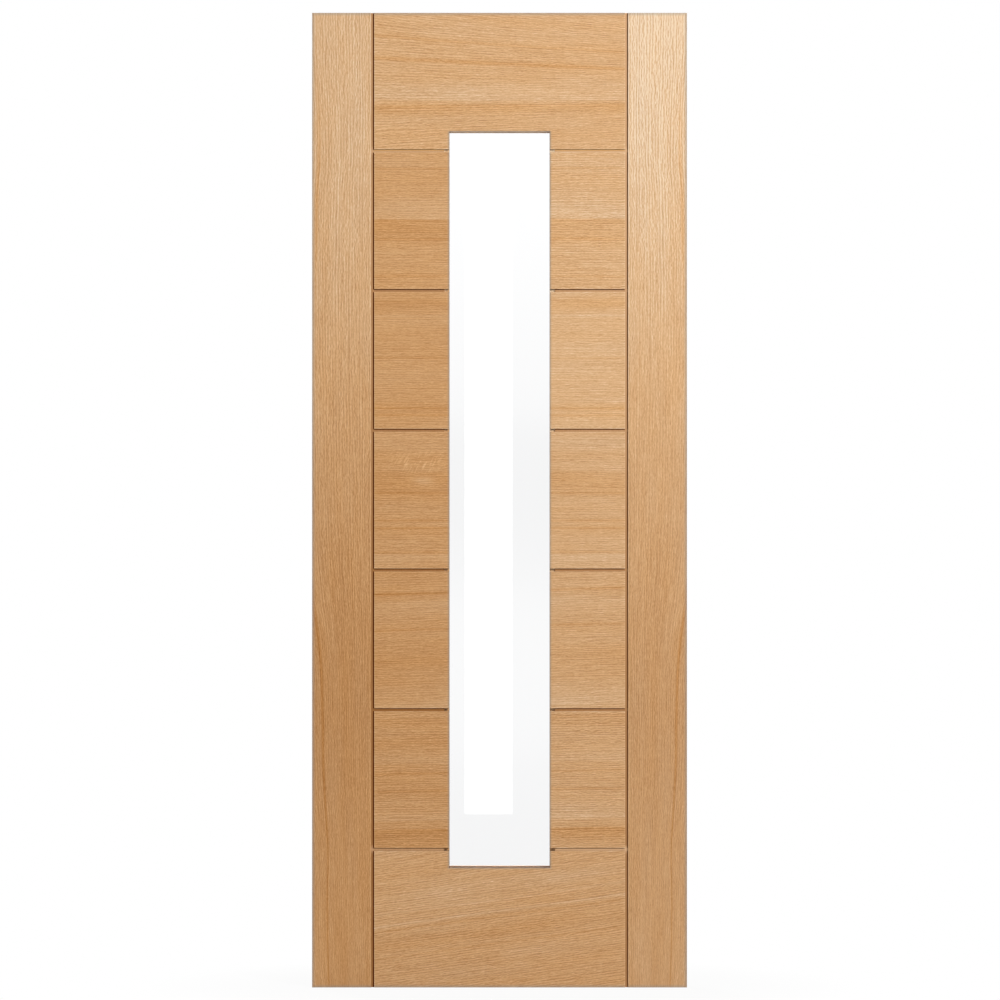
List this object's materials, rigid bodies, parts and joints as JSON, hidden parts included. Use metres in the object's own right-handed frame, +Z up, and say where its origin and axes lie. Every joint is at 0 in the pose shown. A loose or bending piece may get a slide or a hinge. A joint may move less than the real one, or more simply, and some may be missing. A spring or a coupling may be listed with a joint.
{
  "type": "door leaf",
  "caption": "Interior oak door leaf with square grooves between its facing panels and one tall, narrow pane of clear glass.",
  "frame": {"origin": "on the hinge edge, at the foot of the leaf and in the middle of its thickness", "axes": "+X across the leaf from the hinge edge to the lock edge, +Y through the thickness from the front face to the back face, +Z up"},
  "size_m": [0.762, 0.035, 1.981],
  "materials": {
    "oak_veneer": "satin",
    "solid_oak": "satin",
    "timber_core": "matte",
    "clear_glass": "gloss",
    "glazing_tape": "matte"
  },
  "bodies": {
    "root": {"back_bottom_rail": "oak_veneer", "back_hinge_panel_1": "oak_veneer", "back_hinge_panel_2": "oak_veneer", "back_hinge_panel_3": "oak_veneer", "back_hinge_panel_4": "oak_veneer", "back_hinge_panel_5": "oak_veneer", "back_hinge_stile": "oak_veneer", "back_lock_panel_1": "oak_veneer", "back_lock_panel_2": "oak_veneer", "back_lock_panel_3": "oak_veneer", "back_lock_panel_4": "oak_veneer", "back_lock_panel_5": "oak_veneer", "back_lock_stile": "oak_veneer", "back_top_rail": "oak_veneer", "bottom_bead": "solid_oak", "bottom_rail_core": "timber_core", "bottom_stop": "solid_oak", "front_bottom_rail": "oak_veneer", "front_hinge_panel_1": "oak_veneer", "front_hinge_panel_2": "oak_veneer", "front_hinge_panel_3": "oak_veneer", "front_hinge_panel_4": "oak_veneer", "front_hinge_panel_5": "oak_veneer", "front_hinge_stile": "oak_veneer", "front_lock_panel_1": "oak_veneer", "front_lock_panel_2": "oak_veneer", "front_lock_panel_3": "oak_veneer", "front_lock_panel_4": "oak_veneer", "front_lock_panel_5": "oak_veneer", "front_lock_stile": "oak_veneer", "front_top_rail": "oak_veneer", "glass_pane": "clear_glass", "glazing_tape": "glazing_tape", "hinge_bead": "solid_oak", "hinge_lipping": "solid_oak", "hinge_stile_core": "timber_core", "hinge_stop": "solid_oak", "hinge_upright_core": "timber_core", "lock_bead": "solid_oak", "lock_lipping": "solid_oak", "lock_stile_core": "timber_core", "lock_stop": "solid_oak", "lock_upright_core": "timber_core", "top_bead": "solid_oak", "top_rail_core": "timber_core", "top_stop": "solid_oak"}
  },
  "joints": []
}
